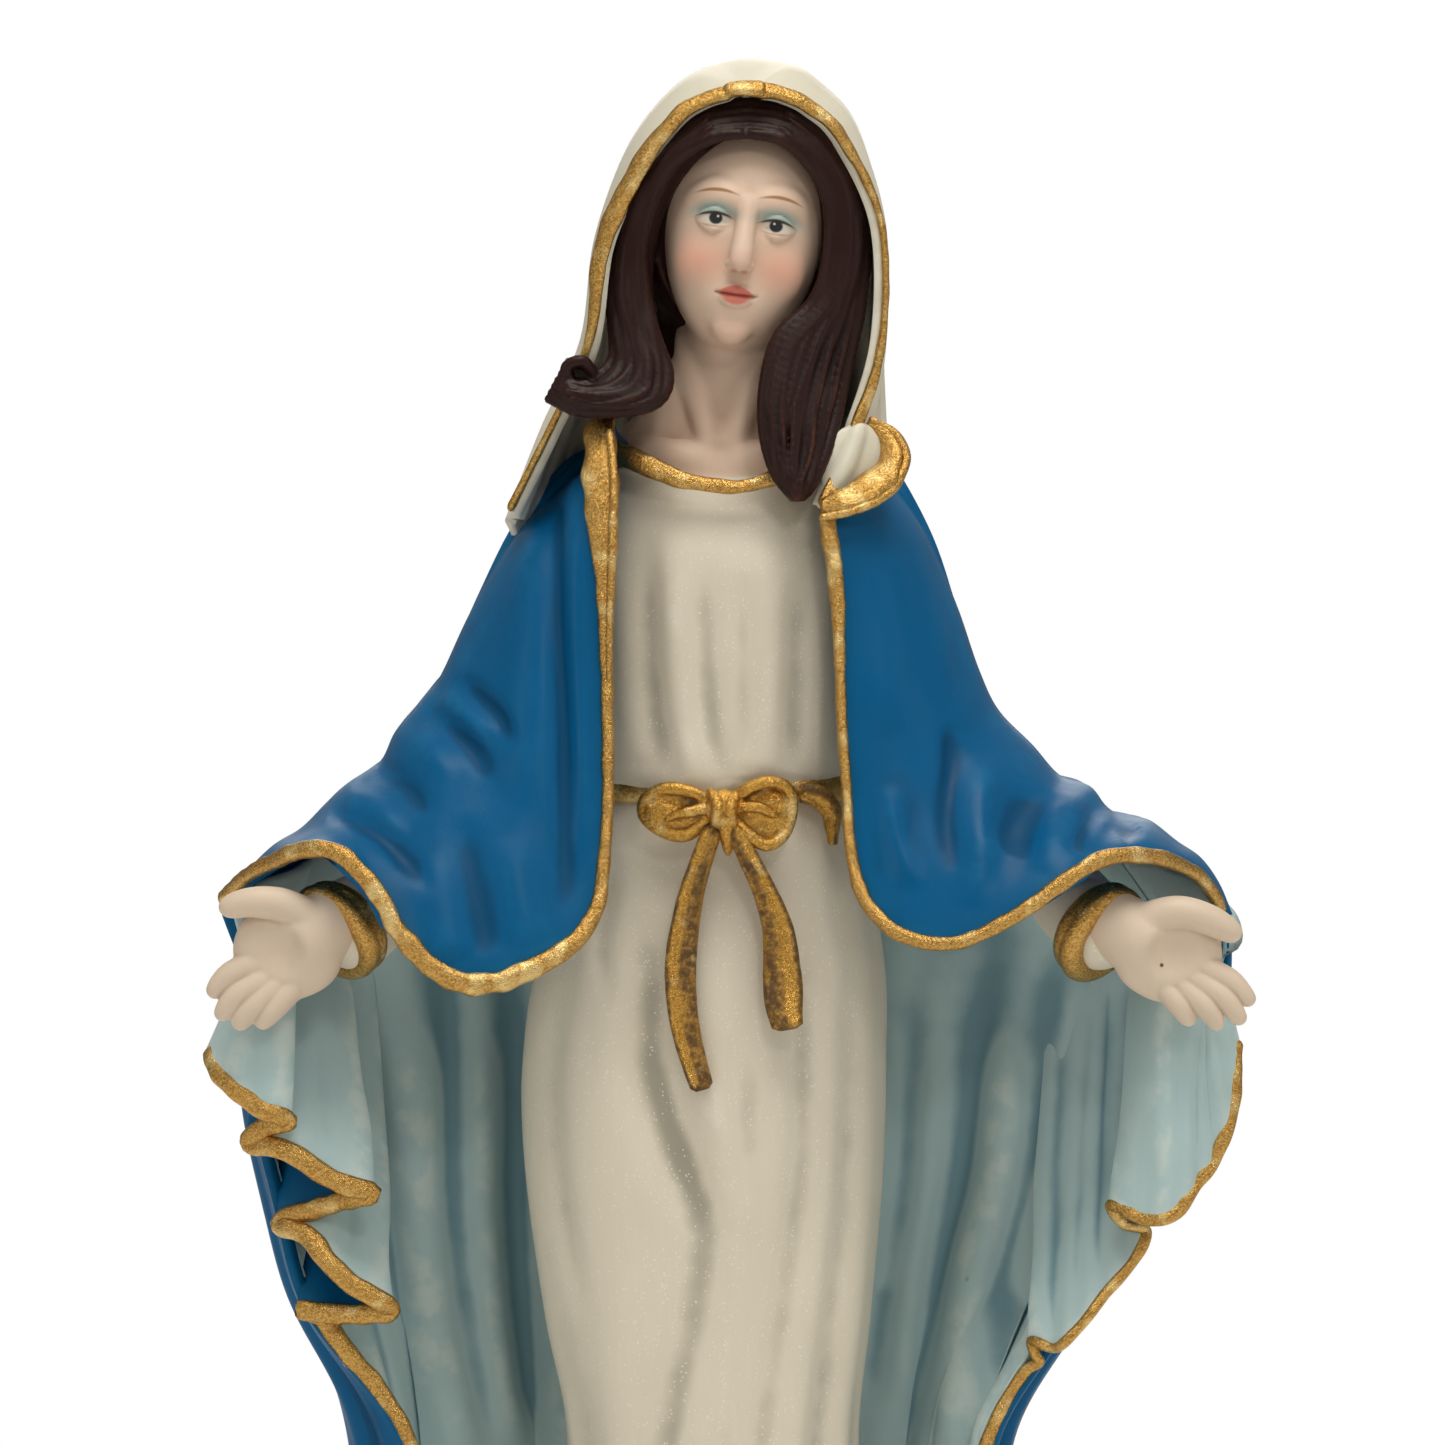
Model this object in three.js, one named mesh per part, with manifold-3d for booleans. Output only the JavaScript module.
// A hand-painted cast resin Madonna statue: a standing figure in a white dress, blue mantle and white veil,
// her open hands held out and down, on a low mound and a round plinth with a felt pad.
//
// Units are millimetres. The origin is the middle of the underside, +Z is up and the figure faces -Y.
// "right" and "left" are the figure's own sides, so right is at -X.
import * as THREE from "three";
import { mergeVertices } from "three/addons/utils/BufferGeometryUtils.js";
import Module from "manifold-3d";

const wasm = await Module();
wasm.setup();

// ---------------------------------------------------------------- driving dimensions

const STATUE_HEIGHT = 203; // felt pad to the top of the veil
const STATUE_WIDTH = 105; // fingertip to fingertip
const PAD_THICKNESS = 1;
const PAD_INSET = 1.5; // how far the pad's edge lies inside the plinth's edge
const PLINTH_RADIUS = 33;
const PLINTH_HEIGHT = 11;
const MOUND_RADIUS = 29;
const MOUND_HEIGHT = 7;
const CLOTH_THICKNESS = 1.4; // cast thickness of the mantle and veil
const EDGE_RADIUS = 0.95; // half the thickness of the raised gold edges
const HAIR_THICKNESS = 2.6;
const SLEEVE_RADIUS = 5; // at the wrist
const CUFF_WALL = 1; // how far a cuff stands out from its sleeve
const SASH_HEIGHT = 3;
const SASH_THICKNESS = 0.9;
const RIBBON_THICKNESS = 1.5;
const GLUE_GAP = 0.3; // between neighbouring pieces
const BEND_GAP = 0.6 * (STATUE_HEIGHT / 203); // the same, round pieces with tight bends, wider as a taller statue steepens them

// The figure is drawn DRAWN_HEIGHT tall and DRAWN_WIDTH wide, and stretches to the sizes above.
const DRAWN_HEIGHT = 184;
const DRAWN_WIDTH = 105;
const PLINTH_TOP = PAD_THICKNESS + PLINTH_HEIGHT;
const SOLE = PLINTH_TOP + MOUND_HEIGHT;
const TALL = (STATUE_HEIGHT - SOLE) / DRAWN_HEIGHT;
const WIDE = STATUE_WIDTH / DRAWN_WIDTH;
const HEAD_TILT = THREE.MathUtils.degToRad(8); // the crown leans to the figure's left
const RIGHT = -1;
const LEFT = 1;

// A point of the figure: x across, y back, h up from the soles.
const at = (x, y, h) => new THREE.Vector3(x * WIDE, y, SOLE + h * TALL);
const points = (list) => list.map(([x, y, h]) => at(x, y, h));
const through = (list) => new THREE.CatmullRomCurve3(list, false, "centripetal");

// ---------------------------------------------------------------- solids

// A closed body from its points and triangles, turned to face out.
function body(corners, faces) {
  const build = (order) => {
    const vertProperties = new Float32Array(corners.flatMap((p) => [p.x, p.y, p.z]));
    const mesh = new wasm.Mesh({ numProp: 3, vertProperties, triVerts: new Uint32Array(order) });
    return new wasm.Manifold(mesh);
  };
  const made = build(faces);
  return made.volume() > 0 ? made : build([...faces].reverse());
}

// A closed three.js geometry as a body: seams are merged and triangles with no area are dropped.
function bodyOf(geometry) {
  const bare = geometry.clone().deleteAttribute("normal").deleteAttribute("uv");
  const merged = mergeVertices(bare, 1e-4);
  const place = merged.attributes.position;
  const corners = [...Array(place.count).keys()].map((i) => new THREE.Vector3().fromBufferAttribute(place, i));
  const faces = [];
  for (let i = 0; i < merged.index.count; i += 3) {
    const [a, b, c] = merged.index.array.slice(i, i + 3);
    if (a !== b && b !== c && a !== c) faces.push(a, b, c);
  }
  return body(corners, faces);
}

const joined = (...solids) => solids.reduce((a, b) => a.add(b));

// What is left of a piece once its neighbours have their room: the main body, without loose slivers.
function fitted(piece, ...neighbours) {
  const rest = neighbours.reduce((a, b) => a.subtract(b), piece);
  return rest.decompose().sort((a, b) => b.volume() - a.volume())[0];
}

// A body lofted through rings that all have the same number of points.
function loft(rings) {
  const sides = rings[0].length;
  const corners = rings.flat();
  const middle = (ring) => ring.reduce((sum, p) => sum.add(p), new THREE.Vector3()).divideScalar(sides);
  const first = corners.push(middle(rings[0])) - 1;
  const last = corners.push(middle(rings.at(-1))) - 1;
  const top = (rings.length - 1) * sides;
  const faces = [];
  for (let i = 0; i < sides; i++) {
    const j = (i + 1) % sides;
    faces.push(first, j, i, last, top + i, top + j);
    for (let a = 0; a < top; a += sides) faces.push(a + i, a + j, a + sides + j, a + i, a + sides + j, a + sides + i);
  }
  return body(corners, faces);
}

// An upright form: level ovals [h, x, y, half width, half depth], from the bottom up.
function column(ovals, sides, grow = 0) {
  const rings = ovals.map(([h, x, y, a, b], k) => {
    const middle = at(x, y, h);
    middle.z += k === 0 ? -grow : k === ovals.length - 1 ? grow : 0;
    return [...Array(sides).keys()].map((i) => {
      const turn = (i / sides) * 2 * Math.PI;
      const reach = new THREE.Vector3((a * WIDE + grow) * Math.cos(turn), (b + grow) * Math.sin(turn), 0);
      return reach.add(middle);
    });
  });
  return loft(rings);
}

// A limb or ribbon along a path, with rounded ends. Its sections are [half width along wide, half thickness].
function limb(path, sections, wide, sides, grow = 0) {
  const rings = [];
  const ringAt = (k, share, push) => {
    const ahead = path[Math.min(k + 1, path.length - 1)].clone().sub(path[Math.max(k - 1, 0)]).normalize();
    const across = wide.clone().addScaledVector(ahead, -wide.dot(ahead)).normalize();
    const through = ahead.clone().cross(across);
    const [w, t] = sections[Math.min(k, sections.length - 1)];
    const middle = path[k].clone().addScaledVector(ahead, push * (t * 0.6 + grow));
    return [...Array(sides).keys()].map((i) => {
      const turn = (i / sides) * 2 * Math.PI;
      return middle
        .clone()
        .addScaledVector(across, share * (w + grow) * Math.cos(turn))
        .addScaledVector(through, share * (t + grow) * Math.sin(turn));
    });
  };
  rings.push(ringAt(0, 0.6, -1));
  path.forEach((_, k) => rings.push(ringAt(k, 1, 0)));
  rings.push(ringAt(path.length - 1, 0.6, 1));
  return loft(rings);
}

// An ellipsoid, leaned about Y by tilt.
function egg(middle, [a, b, c], tilt = 0, grow = 0, around = 14, down = 8) {
  const shape = new THREE.SphereGeometry(1, around, down)
    .rotateX(Math.PI / 2)
    .scale(a * WIDE + grow, b + grow, c * TALL + grow)
    .rotateY(tilt)
    .translate(middle.x, middle.y, middle.z);
  return bodyOf(shape);
}

// A block between two corners.
function block(low, high) {
  const size = high.clone().sub(low);
  const middle = low.clone().add(high).divideScalar(2);
  return bodyOf(new THREE.BoxGeometry(...size.toArray()).translate(...middle.toArray()));
}

// A sheet of even thickness around a grid of points, or beside it by offset. Growing thickens it and pushes its
// borders out.
function sheet(grid, grow = 0, thickness = CLOTH_THICKNESS, offset = 0) {
  const rows = grid.length;
  const columns = grid[0].length;
  const within = (n, most) => Math.max(0, Math.min(most, n));
  const pick = (i, j) => grid[within(i, rows - 1)][within(j, columns - 1)];
  const front = [];
  const back = [];
  for (let i = 0; i < rows; i++)
    for (let j = 0; j < columns; j++) {
      const down = pick(i + 1, j).clone().sub(pick(i - 1, j)).normalize();
      const along = pick(i, j + 1).clone().sub(pick(i, j - 1)).normalize();
      const normal = down.clone().cross(along).normalize();
      const middle = grid[i][j].clone().addScaledVector(normal, offset);
      if (i === 0) middle.addScaledVector(down, -grow);
      if (i === rows - 1) middle.addScaledVector(down, grow);
      if (j === 0) middle.addScaledVector(along, -grow);
      if (j === columns - 1) middle.addScaledVector(along, grow);
      front.push(middle.clone().addScaledVector(normal, thickness / 2 + grow));
      back.push(middle.clone().addScaledVector(normal, -thickness / 2 - grow));
    }
  const count = rows * columns;
  const faces = [];
  const quad = (a, b, c, d) => faces.push(a, b, c, a, c, d);
  for (let i = 0; i < rows - 1; i++)
    for (let j = 0; j < columns - 1; j++) {
      const a = i * columns + j;
      quad(a, a + 1, a + columns + 1, a + columns);
      quad(count + a + columns, count + a + columns + 1, count + a + 1, count + a);
    }
  for (let j = 0; j < columns - 1; j++) {
    const end = (rows - 1) * columns + j;
    quad(count + j, count + j + 1, j + 1, j);
    quad(end, end + 1, count + end + 1, count + end);
  }
  for (let i = 0; i < rows - 1; i++) {
    const a = i * columns;
    const end = a + columns - 1;
    quad(a, a + columns, count + a + columns, count + a);
    quad(count + end, count + end + columns, end + columns, end);
  }
  return body([...front, ...back], faces);
}

// A round bead along a curve.
function bead(curve, steps, grow = 0, radius = EDGE_RADIUS) {
  const section = new THREE.Shape().absarc(0, 0, radius + grow, 0, 2 * Math.PI);
  const options = { steps, curveSegments: 3, bevelEnabled: false, extrudePath: curve };
  return bodyOf(new THREE.ExtrudeGeometry(section, options));
}

// A turned form: [radius, z] pairs from the axis at the bottom to the axis at the top.
function turned(profile, around) {
  const outline = profile.map(([r, z]) => new THREE.Vector2(r, z));
  return bodyOf(new THREE.LatheGeometry(outline, around).rotateX(Math.PI / 2));
}

// ---------------------------------------------------------------- base

function feltPad() {
  const radius = PLINTH_RADIUS - PAD_INSET;
  return turned([[0, 0], [radius, 0], [radius, PAD_THICKNESS], [0, PAD_THICKNESS]], 32);
}

// A foot ring, a hollow moulding and a narrower top.
function plinth() {
  const foot = 0.3 * PLINTH_HEIGHT;
  const neck = 0.65 * PLINTH_HEIGHT;
  const outline = [
    [0, 0],
    [PLINTH_RADIUS, 0],
    [PLINTH_RADIUS, foot],
    [PLINTH_RADIUS - 1, foot + 0.8],
    [PLINTH_RADIUS - 2.2, neck],
    [PLINTH_RADIUS - 1.4, neck + 1.4],
    [PLINTH_RADIUS - 1.4, PLINTH_HEIGHT - 0.8],
    [PLINTH_RADIUS - 2.2, PLINTH_HEIGHT],
    [0, PLINTH_HEIGHT],
  ];
  return turned(outline.map(([r, z]) => [r, z + PAD_THICKNESS]), 32);
}

// A low dome: part of a sphere that is MOUND_RADIUS wide and MOUND_HEIGHT high.
const MOUND_SPHERE = (MOUND_RADIUS ** 2 + MOUND_HEIGHT ** 2) / (2 * MOUND_HEIGHT);

function mound(grow = 0) {
  const reach = Math.asin(MOUND_RADIUS / MOUND_SPHERE);
  const steps = 4;
  const arc = [...Array(steps + 1).keys()].map((k) => {
    const turn = reach * (1 - k / steps);
    return [(MOUND_SPHERE + grow) * Math.sin(turn), SOLE - MOUND_SPHERE + (MOUND_SPHERE + grow) * Math.cos(turn)];
  });
  return turned([[0, arc[0][1] - grow], [arc[0][0], arc[0][1] - grow], ...arc], 28);
}

// The height of the ground under a point: the mound's surface, or the plinth's top beyond it.
function groundAt(x, y) {
  const from = Math.min(Math.hypot(x, y), MOUND_RADIUS);
  return SOLE - MOUND_SPHERE + Math.sqrt(MOUND_SPHERE ** 2 - from ** 2);
}

function foot(side, grow = 0) {
  return egg(at(side * 5.6, -13.5, -1.2), [2.9, 6, 2.8], 0, grow, 14, 10);
}

// ---------------------------------------------------------------- dress

// Level ovals [h, x, y, half width, half depth] of the skirt, from the hem to the waist.
const SKIRT = [
  [-4, 0, -1, 16.6, 12.8],
  [12, -0.6, -0.5, 15.2, 11.4],
  [28, -1.2, 0, 14.2, 10.4],
  [46, -1.7, 0, 14.6, 10],
  [58, -2, 0, 16.2, 10],
  [70, -2.3, 0.2, 17.6, 10.2],
  [84, -2.4, 0.2, 18.2, 10.4],
  [92, -2, 0.2, 17.8, 10.2],
  [100, -1, 0, 15.6, 9.4],
  [106, -0.5, 0, 13.6, 8.6],
  [111, -0.3, 0, 12, 8],
];
// The bodice carries on from the skirt's top oval to the shoulders.
const BODICE = [
  [111, -0.3, 0, 12, 8],
  [118, -0.3, 0, 12.4, 8.6],
  [126, -0.3, 0, 13, 9.2],
  [133, -0.3, 0, 13.6, 9.4],
  [138, -0.3, 0.4, 14, 8.6],
  [142.2, -0.3, 0.8, 12.8, 7.4],
];
const WAIST = 111;

function skirt(grow = 0) {
  return column(SKIRT, 20, grow);
}

function bodice(grow = 0) {
  return column(BODICE, 18, grow);
}

// How far forward the skirt's front face lies at height h, near the middle of the figure.
function skirtFront(h) {
  const k = Math.max(1, SKIRT.findIndex(([top]) => top >= h));
  const [low, high] = [SKIRT[k - 1], SKIRT[k]];
  const share = (h - low[0]) / (high[0] - low[0]);
  const front = ([, , y, , b]) => y - b;
  return front(low) + share * (front(high) - front(low));
}

// The arm in its sleeve: shoulder, elbow and wrist.
const armPath = (side) =>
  points([
    [side * 11, 0.4, 132],
    [side * 20, -0.6, 121.4],
    [side * 27.6, -1.8, 111.6],
    [side * 33.6, -6.4, 103.4],
    [side * 37.4, -10.6, 98.6],
  ]);

function sleeve(side, grow = 0) {
  const r = SLEEVE_RADIUS;
  const widths = [0.7, 0.72, 0.76, 0.9, 1].map((share) => [share * r, share * r]);
  return limb(armPath(side), widths, new THREE.Vector3(0, 1, 0), 10, grow);
}

function cuff(side, grow = 0) {
  const [before, wrist] = armPath(side).slice(-2);
  const ahead = wrist.clone().sub(before).normalize();
  const r = SLEEVE_RADIUS + GLUE_GAP + CUFF_WALL;
  const path = [-1.6, 0, 1.2].map((far) => wrist.clone().addScaledVector(ahead, far));
  return limb(path, [[r, r]], new THREE.Vector3(0, 1, 0), 12, grow);
}

// The collar's gold edge: it dips at the front of the neck and its ends tuck under the mantle's edges.
const NECKLINE = [
  [-11.9, -1, 149], [-11.4, -4.6, 146.6], [-8.6, -7.6, 144.2], [-4.4, -8.9, 142.2],
  [0, -9.2, 141.2], [4, -8.8, 141.4], [8, -7.4, 143], [10.6, -4.6, 145.4], [11.4, -1, 148],
];

function necklineTrim(grow = 0) {
  return bead(through(points(NECKLINE)), 18, grow);
}

// ---------------------------------------------------------------- sash and bow

function sash() {
  const top = WAIST + SASH_HEIGHT / 2 / TALL;
  const low = WAIST - SASH_HEIGHT / 2 / TALL;
  const [, x, y, a, b] = SKIRT.at(-1);
  const out = GLUE_GAP + SASH_THICKNESS;
  return column([[low, x, y, a + out + 0.5, b + out + 0.3], [top, x, y, a + out + 0.2, b + out + 0.2]], 20);
}

const bowFront = () => skirtFront(WAIST) - GLUE_GAP - SASH_THICKNESS - 0.6;

function bowKnot(grow = 0) {
  return egg(at(-0.5, bowFront() - 1.4, WAIST), [1.7, 1.5, 1.8], 0, grow, 12, 8);
}

function bowLoop(side, grow = 0) {
  const rise = side === LEFT ? 1.2 : -1.2;
  const path = points([
    [-0.5 + side * 2, bowFront() - 1.3, WAIST - 0.3],
    [-0.5 + side * 4, bowFront() - 1.5, WAIST - 0.8 + rise * 0.4],
    [-0.5 + side * 6.6, bowFront() - 0.9, WAIST - 1 + rise],
  ]);
  return limb(path, [[1.3, 1], [2.8, 1.3], [3.2, 1.1]], new THREE.Vector3(0, 0, 1), 12, grow);
}

function bowTail(side, grow = 0) {
  const outline = {
    [RIGHT]: [[-1.4, 106.6], [-3.4, 101], [-4.5, 95], [-4.3, 89], [-2.2, 82.6]],
    [LEFT]: [[1.6, 106.8], [3.8, 101], [5.1, 95], [6.1, 88.6]],
  }[side];
  const ahead = GLUE_GAP + RIBBON_THICKNESS / 2 + 0.4;
  const path = points(outline.map(([x, h]) => [x, skirtFront(h) - ahead, h]));
  return limb(path, [[1.1, RIBBON_THICKNESS / 2], [1.8, RIBBON_THICKNESS / 2]], new THREE.Vector3(1, 0, 0), 10, grow);
}

// The short end of the sash that hangs beside the bow, on the figure's left.
function sashEnd(grow = 0) {
  const path = points([
    [8.2, bowFront() + 1.2, WAIST + 0.7],
    [10, bowFront() + 1.6, WAIST + 0.4],
    [10.5, bowFront() + 1.4, WAIST - 4.4],
  ]);
  return limb(path, [[1.3, 0.9], [1.2, 0.9], [0.5, 0.6]], new THREE.Vector3(1, 0, 1), 8, grow);
}

// ---------------------------------------------------------------- head and hair

const SKULL = [1.9, -0.5, 167.6];
const SKULL_SIZE = [8.6, 9.8, 11.8];

// The neck widens into the bare top of the chest, with a peg below that sits in the bodice.
const NECK = [
  [137, -0.4, 0.6, 4.6, 4.2],
  [142, -0.4, 0.6, 4.6, 4.2],
  [142.2 + GLUE_GAP, -0.4, 0.6, 12, 6.6],
  [144.6, -0.4, 0.6, 10.6, 6.2],
  [147.4, -0.4, 0.8, 7, 5.2],
  [150, -0.3, 1, 4.8, 4.6],
  [154, 0, 1, 4.2, 4.4],
  [160, 0.4, 1, 4.2, 4.4],
];

function head(grow = 0) {
  const skull = egg(at(...SKULL), SKULL_SIZE, HEAD_TILT, grow, 16, 10);
  const jaw = egg(at(1, -2.6, 161.2), [6.2, 6.8, 7], HEAD_TILT, grow);
  const nose = egg(at(1.4, -10, 164.6), [1.1, 1.5, 2.4], HEAD_TILT, grow, 8, 6);
  const neck = column(NECK, 16, grow);
  return joined(skull, jaw, nose, neck);
}

// The hair over the crown, open round the face. The two locks carry on below it.
function hairCrown(grow = 0) {
  const size = SKULL_SIZE.map((half, k) => half + (k === 1 ? HAIR_THICKNESS * 0.8 : HAIR_THICKNESS));
  const whole = egg(at(SKULL[0], SKULL[1] + 1, SKULL[2] + 0.2), size, HEAD_TILT, grow, 16, 10);
  const face = egg(at(1.5, -12.5, 162.6), [8.1, 9.5, 12], HEAD_TILT, 0, 14, 8);
  const below = block(at(-30, -30, 120), at(30, 30, 160));
  return fitted(whole, face, below);
}

function hairLock(side, grow = 0) {
  const path = {
    [RIGHT]: [[-8.4, -2.6, 159.2], [-8.9, -4.6, 154.6], [-9.8, -6.8, 150.8], [-12.4, -8, 148.8], [-15, -8, 150]],
    [LEFT]: [[10.8, -3.4, 159.2], [8.8, -6.4, 154], [7.2, -8.4, 147.5], [6.6, -10.2, 141.4]],
  }[side];
  const sections = [[2.4, 3.6], [2.6, 3.8], [2.4, 3.1], [1.9, 2.2], [1.3, 1.4]];
  return limb(points(path), sections, new THREE.Vector3(0, 1, 0), 12, grow);
}

// ---------------------------------------------------------------- veil

// Level ovals of the hood, from the middle of the back to the top of the head.
const HOOD = [
  [127, -0.6, 1, 17, 16.2],
  [134, -1, 0.4, 18.2, 16.4],
  [142.4, -1.6, -1, 19.4, 16.8],
  [148, -1, -1.4, 17, 16.8],
  [156, 0.6, -1.4, 14.8, 16.8],
  [166, 1.5, -1.4, 14, 16.6],
  [173, 2.2, -1.2, 12, 15],
  [178.5, 2.3, -0.8, 9.2, 12],
  [182, 2.1, -0.4, 5.6, 8],
  [184, 2, 0, 2, 3],
];

function veil() {
  const inner = HOOD.map(([h, x, y, a, b], k) => {
    const top = k === HOOD.length - 1;
    return [h - (top ? CLOTH_THICKNESS : 0) - (k === 0 ? 2 : 0), x, y, a - CLOTH_THICKNESS, b - CLOTH_THICKNESS];
  });
  const open = block(at(-30, -30, 100), at(30, -5.6, 180.4));
  const shoulders = block(at(-40, -30, 100), at(40, 8, 142.4));
  return fitted(column(HOOD, 20), column(inner, 20), open, shoulders);
}

const VEIL_EDGE = [
  [-19.6, -4.6, 141.8],
  [-16.8, -4.8, 148],
  [-14.4, -5.8, 156],
  [-12.4, -7, 166],
  [-9.6, -7, 173],
  [-5.6, -7.2, 178.4],
  [-1, -7.6, 181.6],
  [4, -7.6, 181.8],
  [8.6, -7.2, 179],
  [12.8, -7, 173.6],
  [15, -6.8, 166],
  [15.4, -6.8, 156],
  [14.2, -6.8, 149],
  [11.4, -8.6, 144],
];

function veilTrim(grow = 0) {
  return bead(through(points(VEIL_EDGE)), 22, grow);
}

// The turned-back end of the veil on the figure's left shoulder.
function veilFold(grow = 0) {
  const path = points([[9.4, -11.4, 139.6], [13.4, -10.8, 140.6], [17, -8.6, 143.6], [17.6, -5.4, 146.4]]);
  return limb(path, [[0.9, 0.8], [1.6, 0.9], [2, 0.9], [1.2, 0.9]], new THREE.Vector3(0, 0, 1), 10, grow);
}

// ---------------------------------------------------------------- mantle

// The front edge of each side: down from the collar, round the swag and up over the wrist.
const FRONT_EDGE = {
  [RIGHT]: [
    [-12, -8, 147], [-12.6, -11.4, 137], [-12.5, -12.4, 121], [-12.3, -13.6, 111], [-12.8, -15, 102],
    [-15.9, -17.5, 95.4], [-22.7, -19, 91.8], [-29, -19.4, 93.6], [-33.4, -19.2, 98.8], [-38.2, -18.6, 104.4],
    [-43, -15.5, 106.2], [-47.8, -10, 104.6], [-51.2, -4.8, 100.6],
  ],
  [LEFT]: [
    [11.4, -8, 147], [10.6, -11.4, 137], [11.2, -12.4, 121], [11.9, -13.6, 110], [14, -15.5, 102.2],
    [17.8, -17.6, 97.8], [22.4, -18.8, 96.8], [28.4, -19.2, 99.2], [34.4, -19.2, 103.6],
    [40.4, -16.6, 105.6], [45.8, -11.4, 104], [49.4, -5.4, 99.8],
  ],
};
// The ridge over each arm, where the front panel turns into the back of the mantle.
const RIDGE = {
  [RIGHT]: [
    [-9, 4.6, 150], [-16, 3, 145], [-21.4, 2, 138.6], [-25.6, 1.6, 130], [-29.6, 1, 123], [-33.6, 0.4, 117],
    [-37.8, -0.8, 112.6], [-41.4, -2, 109], [-46.6, -3, 105.2], [-51.2, -3.6, 100.6],
  ],
  [LEFT]: [
    [9, 4.6, 150], [15.6, 3, 145], [20, 2, 138.4], [23.4, 1.6, 129.4], [26.2, 1, 123], [29.6, 0.6, 118.6],
    [34, -0.4, 115], [38, -1.6, 111.4], [42, -2.4, 108.8], [46.4, -3.2, 105.4], [49.4, -4.2, 99.8],
  ],
};
const NAPE = [0, 8.8, 151.4];
// The back of the mantle at knee height and at the hem, from the front corner on the right, round the back, to the
// front corner on the left. The hem lies just above the ground, so its heights follow the mound.
const KNEE = 46;
const MANTLE_KNEE = [
  [-33.4, -6.6], [-37, -2.6], [-34.6, 5], [-25, 11.5], [-12, 15], [0, 16],
  [12, 15], [21.4, 10.5], [26.4, 4], [27, -3], [25.8, -6.6],
];
const HEM = [
  [-27.4, -5.4], [-30.6, 0], [-26, 8], [-19.6, 12.4], [-10, 15.8], [0, 17],
  [10, 15.8], [18.8, 12.4], [24.6, 8], [28.4, 0], [25, -5.4],
];
const HEM_LIFT = 0.4; // between the hem's gold edge and the ground
const FOLDS = 8; // across the back
const FOLD_DEPTH = 1.2;
const LINING_THICKNESS = 0.9;
const PLEAT_THICKNESS = 1;
const EDGE_ROOM = EDGE_RADIUS + GLUE_GAP + 0.1; // a sheet stops this far from the middle of its gold edge
const SEAM = CLOTH_THICKNESS / 2 + GLUE_GAP; // the panels stay this far from the ridge, on each side

const hemPoints = () =>
  HEM.map(([x, y]) => new THREE.Vector3(x * WIDE, y, groundAt(x * WIDE, y) + EDGE_RADIUS + HEM_LIFT));

function frontPanel(side, grow = 0) {
  const edge = through(points(FRONT_EDGE[side]));
  const ridge = through(points([[side * 11.4, -4, 149], ...RIDGE[side].slice(1)]));
  const across = 3;
  const down = 14;
  const used = 0.97; // the edge and the ridge meet at the wrist, so the panel stops just short of there
  const grid = [...Array(down + 1).keys()].map((i) => {
    const fall = (used * i) / down;
    const from = edge.getPoint(fall);
    const to = ridge.getPoint(fall).add(new THREE.Vector3(0, -SEAM, 0));
    const start = Math.min(0.6, EDGE_ROOM / from.distanceTo(to));
    return [...Array(across + 1).keys()].map((j) => {
      const share = start + (1 - start) * (j / across);
      const swell = 3 * Math.sin(Math.PI * share) * Math.sin(Math.PI * fall);
      return from.clone().lerp(to, share).add(new THREE.Vector3(0, -swell, 0));
    });
  });
  return sheet(grid, grow);
}

// The back of the mantle hangs from the ridge, past the knees, to the hem, in shallow folds.
function mantleBack(grow = 0, thickness = CLOTH_THICKNESS, offset = 0) {
  const top = through(points([[-42, -3.6, 60], ...RIDGE[RIGHT].toReversed(), NAPE, ...RIDGE[LEFT], [36, -3.6, 58]]));
  const knee = through(points(MANTLE_KNEE.map(([x, y]) => [x, y, KNEE])));
  const hem = through(hemPoints());
  const across = 26;
  const down = 6;
  const grid = [...Array(across + 1).keys()].map((j) => {
    const share = j / across;
    const inner = Math.sin(Math.PI * share);
    const start = top.getPoint(share).add(new THREE.Vector3(0, SEAM, 0));
    const end = hem.getPoint(share).add(new THREE.Vector3(0, 0, EDGE_ROOM));
    const line = through([start, knee.getPoint(share), end]);
    return [...Array(down + 1).keys()].map((i) => {
      const fall = i / down;
      const fold = FOLD_DEPTH * fall * Math.cos(2 * Math.PI * FOLDS * share);
      const stand = 3.2 * inner * Math.sqrt(Math.sin(Math.PI * fall ** 0.6));
      return line.getPoint(fall).add(new THREE.Vector3(0, stand + fold * inner, 0));
    });
  });
  const rows = [...Array(down + 1).keys()].map((i) => grid.map((column) => column[i]));
  return sheet(rows, grow, thickness, offset);
}

const LINING_OFFSET = (CLOTH_THICKNESS + LINING_THICKNESS) / 2 + GLUE_GAP;
const mantleLining = () => mantleBack(0, LINING_THICKNESS, LINING_OFFSET);

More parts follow.
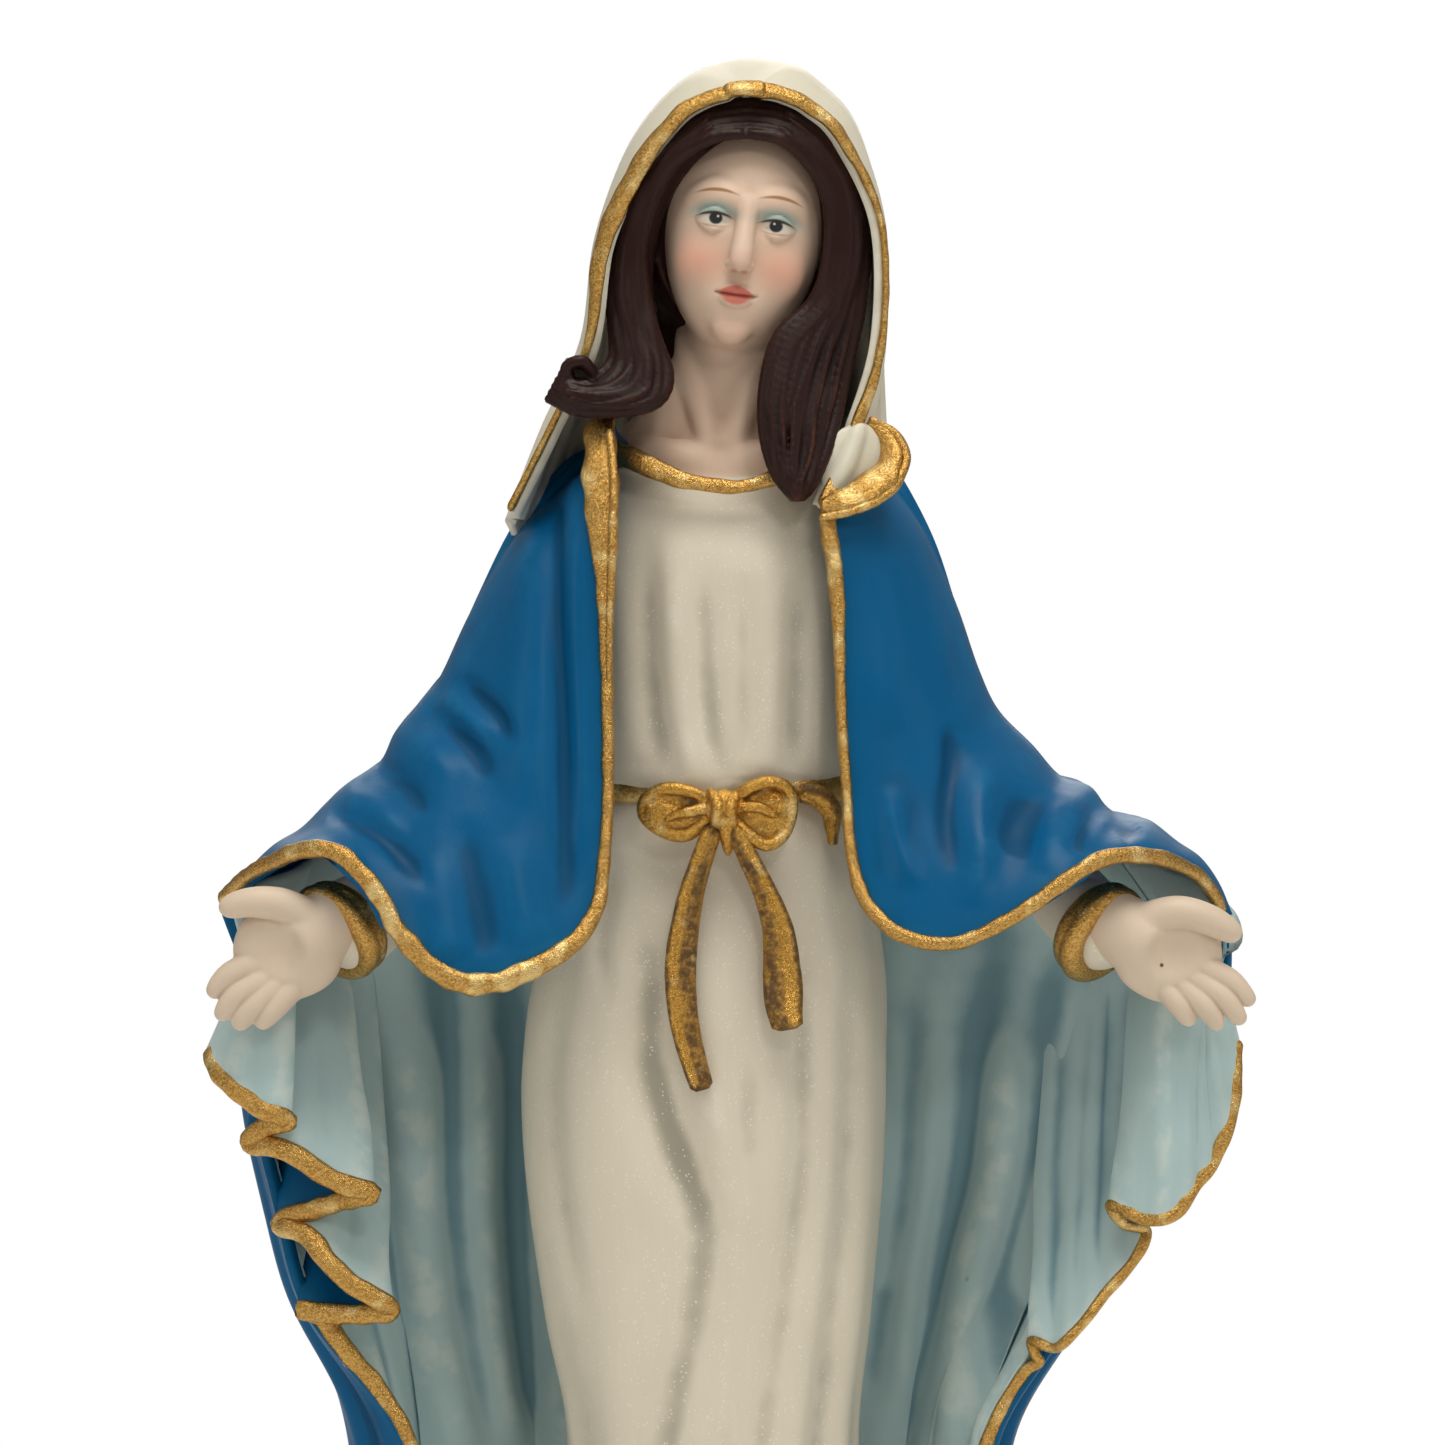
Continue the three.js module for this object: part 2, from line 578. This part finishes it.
// Pleats that drop from each wrist: where each pleat's edge hangs, below, and where it is gathered, above.
const PLEAT_ENDS = {
  [RIGHT]: [
    [-50.6, -8.2, 87], [-45, -10.8, 80], [-46.6, -7.4, 77.6], [-38.6, -10.2, 72], [-42.2, -6.2, 68.6],
    [-35, -9.6, 62], [-38.8, -6.4, 58.4],
  ],
  [LEFT]: [
    [49.8, -8, 87], [46.4, -9.8, 75.4], [44.6, -6.6, 72], [40.4, -9.6, 70], [41.6, -6.4, 66.6],
    [35.6, -9, 61.6], [34.4, -6.6, 57],
  ],
};
const PLEAT_TOPS = {
  [RIGHT]: [
    [-49, -6, 96], [-46, -9.4, 95], [-46, -6.6, 94.6], [-40.4, -9.4, 92], [-42.4, -5.6, 91.6],
    [-38, -8.4, 89], [-39.6, -5.4, 88.6],
  ],
  [LEFT]: [
    [48, -6, 96], [45, -9.2, 95], [44.4, -6.6, 94.6], [41, -9.6, 92], [41.6, -6, 91.6],
    [38, -8.4, 89], [38, -5.4, 88.6],
  ],
};

function pleats(side, grow = 0) {
  const top = through(points(PLEAT_TOPS[side]));
  const end = through(points(PLEAT_ENDS[side]));
  const across = 18;
  const down = 2;
  const grid = [...Array(down + 1).keys()].map((i) =>
    [...Array(across + 1).keys()].map((j) => {
      const low = end.getPoint(j / across).add(new THREE.Vector3(0, 0, 2 * EDGE_ROOM));
      return top.getPoint(j / across).lerp(low, i / down);
    }),
  );
  return sheet(grid, grow, PLEAT_THICKNESS);
}

function frontTrim(side, grow = 0) {
  return bead(through(points(FRONT_EDGE[side])), 22, grow);
}

// The gold edge of the pleats carries on down the mantle's front edge to the hem.
function pleatTrim(side, grow = 0) {
  const corner = hemPoints().at(side === RIGHT ? 0 : -1);
  const ahead = new THREE.Vector3(0, -EDGE_ROOM - CLOTH_THICKNESS / 2, 0);
  const [x, y] = MANTLE_KNEE.at(side === RIGHT ? 0 : -1);
  const lower = [at(x, y, KNEE).add(ahead), corner.add(ahead)];
  return bead(through([...points(PLEAT_ENDS[side]), ...lower]), 26, grow);
}

function hemTrim(grow = 0) {
  return bead(through(hemPoints()), 20, grow);
}

// ---------------------------------------------------------------- hands

function hand(side, grow = 0) {
  const wide = new THREE.Vector3(side, 0, 1).normalize();
  const palm = limb(
    points([
      [side * 35.6, -8.8, 101.6],
      [side * 38.4, -12, 98],
      [side * 41.6, -14.2, 96.4],
      [side * 45.6, -15.2, 94],
      [side * 48.6, -15.6, 91.6],
    ]),
    [[2.4, 2.2], [2.6, 2.2], [4.2, 2], [4.6, 1.9], [4.2, 1.7]],
    wide,
    10,
    grow,
  );
  const fingers = [0, 1, 2, 3].map((k) => {
    const spread = 3 - 2 * k;
    const root = at(side * (46.6 + 0.62 * spread), -15.4, 93.2 + 0.74 * spread);
    const reach = [4.6, 5.8, 5.6, 4.4][k];
    const point = new THREE.Vector3(side * (0.62 + 0.06 * spread), -0.08, -0.72 + 0.08 * spread);
    const tip = root.clone().addScaledVector(point, reach);
    return limb([root, tip], [[1.1, 1.1], [0.8, 0.9]], wide, 6, grow);
  });
  const thumb = limb(
    points([[side * 41, -14.4, 98.6], [side * 45, -15.6, 100.2], [side * 48.6, -16, 99.6]]),
    [[1.5, 1.4], [1.3, 1.2], [0.9, 0.9]],
    new THREE.Vector3(0, 0, 1),
    6,
    grow,
  );
  return joined(palm, ...fingers, thumb);
}

// ---------------------------------------------------------------- finishes

const finish = (color, roughness, metalness = 0) => new THREE.MeshStandardMaterial({ color, roughness, metalness });
const FELT = finish("#2f4a38", 0.95);
const STONE_WHITE = finish("#d9d3c6", 0.6);
const CLOUD_BLUE = finish("#a9c3cb", 0.6);
const PEARL_WHITE = finish("#dcd7ca", 0.45);
const IVORY = finish("#e0dccf", 0.5);
const MANTLE_BLUE = finish("#0a6199", 0.4);
const LINING_BLUE = finish("#9fbcc0", 0.55);
const GOLD = finish("#c2923c", 0.35, 0.9);
const SKIN = finish("#dcbfb2", 0.5);
const BROWN = finish("#3d2626", 0.4);

// ---------------------------------------------------------------- assembly

const statue = new THREE.Group();

function add(name, solid, material) {
  const { vertProperties, triVerts, numProp } = solid.getMesh();
  const place = new Float32Array((vertProperties.length / numProp) * 3);
  for (let i = 0; i < place.length / 3; i++) place.set(vertProperties.subarray(i * numProp, i * numProp + 3), i * 3);
  const geometry = new THREE.BufferGeometry()
    .setAttribute("position", new THREE.BufferAttribute(place, 3))
    .setIndex(new THREE.BufferAttribute(triVerts, 1));
  geometry.computeVertexNormals();
  const mesh = new THREE.Mesh(geometry, material);
  mesh.name = name;
  statue.add(mesh);
}

const SIDES = { right: RIGHT, left: LEFT };
const both = (build, grow) => Object.values(SIDES).map((side) => build(side, grow));

// What each neighbour keeps free round itself.
const room = {
  mound: mound(GLUE_GAP),
  skirt: skirt(GLUE_GAP),
  bodice: bodice(GLUE_GAP),
  head: head(GLUE_GAP),
  neckline: necklineTrim(GLUE_GAP),
  knot: bowKnot(GLUE_GAP),
  hair: hairCrown(GLUE_GAP),
  hemTrim: hemTrim(GLUE_GAP),
  veilTrim: veilTrim(GLUE_GAP),
  veilFold: veilFold(GLUE_GAP),
  back: mantleBack(GLUE_GAP),
  lining: mantleBack(GLUE_GAP, LINING_THICKNESS, LINING_OFFSET),
  feet: both(foot, GLUE_GAP),
  sleeves: both(sleeve, GLUE_GAP),
  cuffs: both(cuff, GLUE_GAP),
  hands: both(hand, GLUE_GAP),
  loops: both(bowLoop, GLUE_GAP),
  tails: both(bowTail, GLUE_GAP),
  locks: both(hairLock, BEND_GAP),
  panels: both(frontPanel, GLUE_GAP),
  frontTrims: both(frontTrim, GLUE_GAP),
  pleatTrims: both((side) => joined(pleatTrim(side, GLUE_GAP), pleatTrim(side, BEND_GAP))),
  pleats: both(pleats, GLUE_GAP),
};

add("felt_pad", feltPad(), FELT);
add("plinth", plinth(), STONE_WHITE);
add("cloud_mound", mound(), CLOUD_BLUE);
add("skirt", fitted(skirt(), room.mound), PEARL_WHITE);
add("bodice", fitted(bodice(), room.head, room.skirt), PEARL_WHITE);
add("head", head(), SKIN);
add("neckline_trim", fitted(necklineTrim(), room.head, room.bodice), GOLD);
add("waist_sash", fitted(sash(), room.skirt, room.bodice), GOLD);
add("bow_knot", bowKnot(), GOLD);
add("sash_end", fitted(sashEnd(), room.skirt, room.bodice, ...room.loops), GOLD);
add("hair_crown", fitted(hairCrown(), room.head), BROWN);
add("veil_trim", fitted(veilTrim(), room.veilFold, ...room.locks, ...room.frontTrims), GOLD);
add("veil_end_fold", fitted(veilFold(), room.bodice), GOLD);
add(
  "veil",
  fitted(veil(), room.veilTrim, room.veilFold, room.hair, room.back, room.lining, ...room.locks, ...room.panels),
  IVORY,
);
add("mantle_hem_trim", fitted(hemTrim(), ...room.pleatTrims), GOLD);
add("mantle_back", fitted(mantleBack(), room.bodice, ...room.pleatTrims), MANTLE_BLUE);
add(
  "mantle_lining",
  fitted(mantleLining(), room.back, room.skirt, room.bodice, room.head, room.hemTrim, ...room.pleatTrims),
  LINING_BLUE,
);

for (const [word, side] of Object.entries(SIDES)) {
  const k = Object.values(SIDES).indexOf(side);
  add(`${word}_foot`, fitted(foot(side), room.mound, room.skirt), SKIN);
  add(`${word}_bow_loop`, fitted(bowLoop(side), room.knot, ...room.tails), GOLD);
  add(`${word}_bow_tail`, fitted(bowTail(side), room.knot, room.skirt), GOLD);
  add(
    `${word}_hair_lock`,
    fitted(hairLock(side), room.head, room.bodice, room.neckline, room.hair, room.veilFold),
    BROWN,
  );
  add(`${word}_sleeve`, fitted(sleeve(side), room.bodice, room.hands[k], room.lining), PEARL_WHITE);
  add(`${word}_cuff`, fitted(cuff(side), room.sleeves[k], room.hands[k]), GOLD);
  add(`${word}_hand`, hand(side), SKIN);
  add(`${word}_mantle_edge`, fitted(frontTrim(side), room.veilFold, room.bodice, room.neckline, ...room.locks), GOLD);
  add(
    `${word}_mantle_front`,
    fitted(
      frontPanel(side), room.back, room.lining, room.bodice, room.head, room.frontTrims[k], room.sleeves[k],
      room.cuffs[k], room.hands[k], room.veilFold, room.veilTrim, room.neckline, ...room.locks,
    ),
    MANTLE_BLUE,
  );
  add(`${word}_pleat_edge`, fitted(pleatTrim(side), room.skirt, room.mound), GOLD);
  add(
    `${word}_mantle_pleats`,
    fitted(pleats(side), room.pleatTrims[k], room.hands[k], room.cuffs[k], room.sleeves[k], room.lining),
    LINING_BLUE,
  );
}

export default statue;
